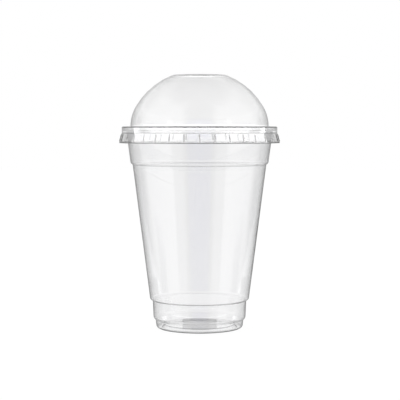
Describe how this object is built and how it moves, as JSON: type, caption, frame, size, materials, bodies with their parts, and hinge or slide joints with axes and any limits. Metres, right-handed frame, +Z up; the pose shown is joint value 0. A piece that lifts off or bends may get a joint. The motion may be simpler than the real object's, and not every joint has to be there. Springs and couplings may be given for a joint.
{
  "type": "plastic cup with lid",
  "caption": "Clear thin-walled cold-drink cup with stepped, tapered sides and a rolled rim, closed by a lift-off flat-topped dome lid with a ribbed skirt.",
  "frame": {"origin": "middle of the cup's standing face", "axes": "+Z up along the cup's axis, -Y to the front, +X to the right seen from the front"},
  "size_m": [0.0992, 0.0996, 0.1564],
  "materials": {
    "clear_plastic": "gloss"
  },
  "bodies": {
    "cup_body": {"cup": "clear_plastic"},
    "lid_body": {"dome_lid": "clear_plastic"}
  },
  "joints": [
    {"name": "lid_lift", "type": "slide", "parent": "cup_body", "child": "lid_body", "axis": [0, 0, 1], "range_m": [0, 0.04]}
  ]
}
